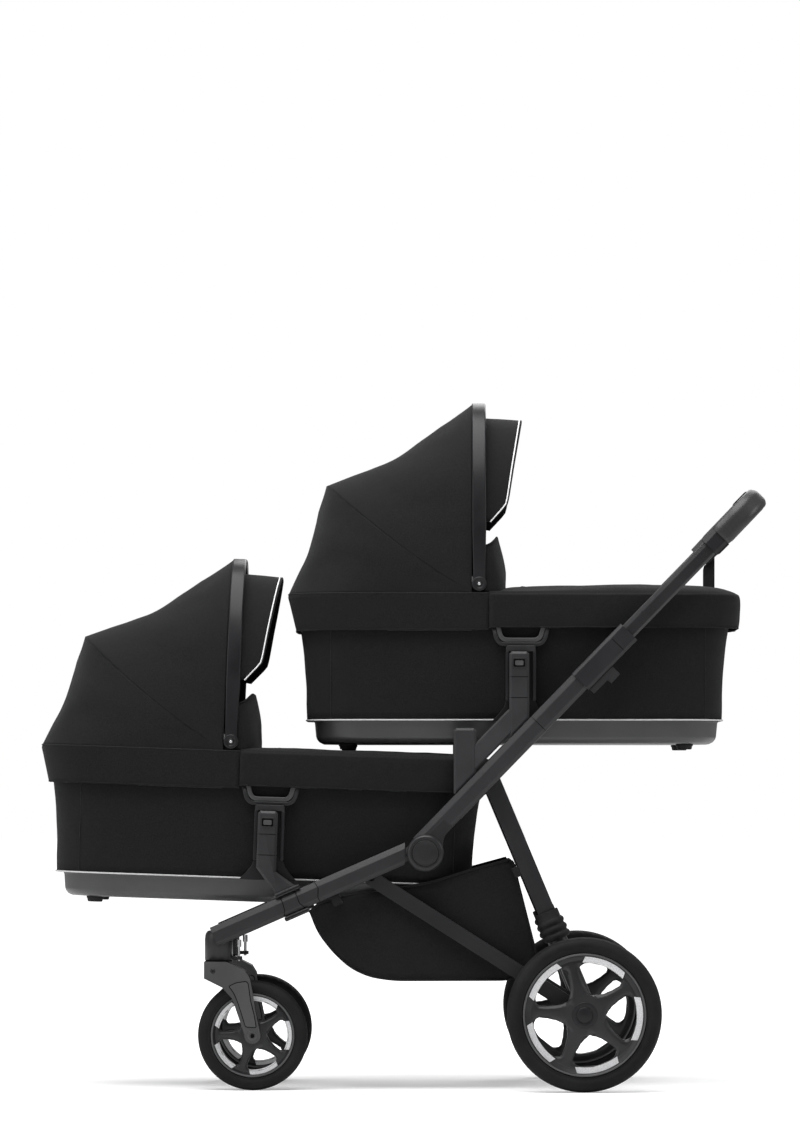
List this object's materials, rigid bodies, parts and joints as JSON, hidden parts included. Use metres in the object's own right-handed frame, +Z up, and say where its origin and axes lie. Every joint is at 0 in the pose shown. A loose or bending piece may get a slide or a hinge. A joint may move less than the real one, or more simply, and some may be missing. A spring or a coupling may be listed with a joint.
{
  "type": "tandem pram",
  "caption": "Tandem pram with one carrycot above the other, folding hoods, swivelling front wheels, sprung rear axle, shopping basket and telescoping handle.",
  "frame": {"origin": "on the floor, under the middle of the pram's length and width", "axes": "+Z up, +X towards the handle, -Y the pram's left side"},
  "size_m": [1.2572, 0.568, 1.1973],
  "materials": {
    "painted_tube": "satin",
    "plastic": "matte",
    "rubber": "matte",
    "tyre": "matte",
    "fabric": "matte",
    "lining": "matte",
    "leather": "satin",
    "steel": "satin"
  },
  "bodies": {
    "chassis": {"front_tube_left": "painted_tube", "front_tube_right": "painted_tube", "upper_tube_left": "painted_tube", "upper_tube_right": "painted_tube", "tube_sleeve_left": "plastic", "tube_sleeve_right": "plastic", "lower_adapter_left": "plastic", "lower_adapter_right": "plastic", "upper_adapter_left": "plastic", "upper_adapter_right": "plastic", "front_crossbar": "painted_tube", "basket": "fabric", "lower_cot_tray": "plastic", "lower_cot_body": "fabric", "lower_mattress": "lining", "lower_foot_cover": "fabric"},
    "rear_axle": {"rear_axle_beam": "painted_tube", "strut_left": "painted_tube", "strut_right": "painted_tube"},
    "leg_frame": {"rear_leg_frame": "painted_tube", "leg_gaiter_left": "rubber", "leg_gaiter_right": "rubber"},
    "brake_pedal": {"brake_pedal": "plastic"},
    "handle": {"handle_frame": "painted_tube", "handle_grip": "leather", "hand_strap": "fabric"},
    "height_button": {"height_button": "plastic"},
    "upper_cot": {"upper_cot_tray": "plastic", "upper_cot_body": "fabric", "upper_mattress": "lining", "upper_foot_cover": "fabric"},
    "rear_wheel_left": {"rear_rim_left": "plastic", "rear_tyre_left": "tyre"},
    "fork_left": {"swivel_fork_left": "plastic"},
    "front_wheel_left": {"front_rim_left": "plastic", "front_tyre_left": "tyre"},
    "swivel_lock_left": {"swivel_lock_left": "steel"},
    "fold_latch_left": {"fold_latch_left": "plastic"},
    "rear_wheel_right": {"rear_rim_right": "plastic", "rear_tyre_right": "tyre"},
    "fork_right": {"swivel_fork_right": "plastic"},
    "front_wheel_right": {"front_rim_right": "plastic", "front_tyre_right": "tyre"},
    "swivel_lock_right": {"swivel_lock_right": "steel"},
    "fold_latch_right": {"fold_latch_right": "plastic"},
    "lower_hood_mid": {"lower_mid_hoop": "steel"},
    "lower_hood_front": {"lower_front_hoop": "plastic", "lower_hood": "fabric"},
    "lower_release_handle_left": {"lower_release_handle_left": "plastic"},
    "lower_adapter_button_left": {"lower_adapter_button_left": "plastic"},
    "lower_release_handle_right": {"lower_release_handle_right": "plastic"},
    "lower_adapter_button_right": {"lower_adapter_button_right": "plastic"},
    "upper_hood_mid": {"upper_mid_hoop": "steel"},
    "upper_hood_front": {"upper_front_hoop": "plastic", "upper_hood": "fabric"},
    "upper_release_handle_left": {"upper_release_handle_left": "plastic"},
    "upper_adapter_button_left": {"upper_adapter_button_left": "plastic"},
    "upper_release_handle_right": {"upper_release_handle_right": "plastic"},
    "upper_adapter_button_right": {"upper_adapter_button_right": "plastic"}
  },
  "joints": [
    {"name": "suspension", "type": "hinge", "parent": "chassis", "child": "rear_axle", "pos_m": [-0.05207, 0, 0.36556], "axis": [0, -1, 0], "range_deg": [0, 1.5], "stiffness_Nm_per_rad": 300, "springref_deg": -17.19, "deforming": ["leg_gaiter_left", "leg_gaiter_right"]},
    {"name": "leg_swing", "type": "hinge", "parent": "chassis", "child": "leg_frame", "pos_m": [0.15117, 0, 0.54518], "axis": [0, -1, 0], "range_deg": [0, 0.95]},
    {"name": "brake_pedal_turn", "type": "hinge", "parent": "rear_axle", "child": "brake_pedal", "pos_m": [0.3136, 0.1, 0.133], "axis": [0, 1, 0], "range_deg": [0, 20]},
    {"name": "handle_height", "type": "slide", "parent": "chassis", "child": "handle", "axis": [0.6972, 0, 0.7169], "range_m": [-0.08, 0.04]},
    {"name": "height_button_press", "type": "slide", "parent": "handle", "child": "height_button", "axis": [-0.6972, 0, -0.7169], "range_m": [0, 0.003], "stiffness_N_per_m": 300, "springref_m": -0.002},
    {"name": "upper_cot_lift", "type": "slide", "parent": "chassis", "child": "upper_cot", "axis": [0, 0, 1], "range_m": [0, 0.06]},
    {"name": "rear_wheel_left_spin", "type": "hinge", "parent": "rear_axle", "child": "rear_wheel_left", "pos_m": [0.3136, -0.262, 0.133], "axis": [0, 1, 0], "continuous": true},
    {"name": "fork_left_swivel", "type": "hinge", "parent": "chassis", "child": "fork_left", "pos_m": [-0.3159, -0.18, 0.2223], "axis": [0, 0, 1], "continuous": true},
    {"name": "front_wheel_left_spin", "type": "hinge", "parent": "fork_left", "child": "front_wheel_left", "pos_m": [-0.2571, -0.18, 0.095], "axis": [0, 1, 0], "continuous": true},
    {"name": "swivel_lock_left_lift", "type": "slide", "parent": "chassis", "child": "swivel_lock_left", "axis": [0, 0, 1], "range_m": [0, 0.006]},
    {"name": "fold_latch_left_slide", "type": "slide", "parent": "chassis", "child": "fold_latch_left", "axis": [0.6972, 0, 0.7169], "range_m": [0, 0.012], "stiffness_N_per_m": 200, "springref_m": -0.004},
    {"name": "rear_wheel_right_spin", "type": "hinge", "parent": "rear_axle", "child": "rear_wheel_right", "pos_m": [0.3136, 0.262, 0.133], "axis": [0, 1, 0], "continuous": true},
    {"name": "fork_right_swivel", "type": "hinge", "parent": "chassis", "child": "fork_right", "pos_m": [-0.3159, 0.18, 0.2223], "axis": [0, 0, 1], "continuous": true},
    {"name": "front_wheel_right_spin", "type": "hinge", "parent": "fork_right", "child": "front_wheel_right", "pos_m": [-0.2571, 0.18, 0.095], "axis": [0, 1, 0], "continuous": true},
    {"name": "swivel_lock_right_lift", "type": "slide", "parent": "chassis", "child": "swivel_lock_right", "axis": [0, 0, 1], "range_m": [0, 0.006]},
    {"name": "fold_latch_right_slide", "type": "slide", "parent": "chassis", "child": "fold_latch_right", "axis": [0.6972, 0, 0.7169], "range_m": [0, 0.012], "stiffness_N_per_m": 200, "springref_m": -0.004},
    {"name": "lower_hood_mid_fold", "type": "hinge", "parent": "chassis", "child": "lower_hood_mid", "pos_m": [-0.2953, 0, 0.6022], "axis": [0, -1, 0], "range_deg": [0, 25]},
    {"name": "lower_hood_fold", "type": "hinge", "parent": "lower_hood_mid", "child": "lower_hood_front", "pos_m": [-0.2953, 0, 0.6022], "axis": [0, -1, 0], "range_deg": [0, 50], "deforming": ["lower_hood"]},
    {"name": "lower_release_handle_left_lift", "type": "slide", "parent": "chassis", "child": "lower_release_handle_left", "axis": [0.0349, 0, 0.9994], "range_m": [0, 0.008], "stiffness_N_per_m": 300, "springref_m": -0.003},
    {"name": "lower_adapter_button_left_press", "type": "slide", "parent": "chassis", "child": "lower_adapter_button_left", "axis": [0, 1, 0], "range_m": [0, 0.0026], "stiffness_N_per_m": 300, "springref_m": -0.002},
    {"name": "lower_release_handle_right_lift", "type": "slide", "parent": "chassis", "child": "lower_release_handle_right", "axis": [0.0349, 0, 0.9994], "range_m": [0, 0.008], "stiffness_N_per_m": 300, "springref_m": -0.003},
    {"name": "lower_adapter_button_right_press", "type": "slide", "parent": "chassis", "child": "lower_adapter_button_right", "axis": [0, -1, 0], "range_m": [0, 0.0026], "stiffness_N_per_m": 300, "springref_m": -0.002},
    {"name": "upper_hood_mid_fold", "type": "hinge", "parent": "upper_cot", "child": "upper_hood_mid", "pos_m": [0.134, 0, 0.875], "axis": [0, -1, 0], "range_deg": [0, 25]},
    {"name": "upper_hood_fold", "type": "hinge", "parent": "upper_hood_mid", "child": "upper_hood_front", "pos_m": [0.134, 0, 0.875], "axis": [0, -1, 0], "range_deg": [0, 50], "deforming": ["upper_hood"]},
    {"name": "upper_release_handle_left_lift", "type": "slide", "parent": "upper_cot", "child": "upper_release_handle_left", "axis": [0, 0, 1], "range_m": [0, 0.008], "stiffness_N_per_m": 300, "springref_m": -0.003},
    {"name": "upper_adapter_button_left_press", "type": "slide", "parent": "chassis", "child": "upper_adapter_button_left", "axis": [0, 1, 0], "range_m": [0, 0.0026], "stiffness_N_per_m": 300, "springref_m": -0.002},
    {"name": "upper_release_handle_right_lift", "type": "slide", "parent": "upper_cot", "child": "upper_release_handle_right", "axis": [0, 0, 1], "range_m": [0, 0.008], "stiffness_N_per_m": 300, "springref_m": -0.003},
    {"name": "upper_adapter_button_right_press", "type": "slide", "parent": "chassis", "child": "upper_adapter_button_right", "axis": [0, -1, 0], "range_m": [0, 0.0026], "stiffness_N_per_m": 300, "springref_m": -0.002}
  ],
  "couplings": [
    {"joint": "leg_swing", "follows": "suspension", "ratio": 0.614},
    {"joint": "lower_hood_mid_fold", "follows": "lower_hood_fold", "ratio": 0.5},
    {"joint": "upper_hood_mid_fold", "follows": "upper_hood_fold", "ratio": 0.5}
  ]
}
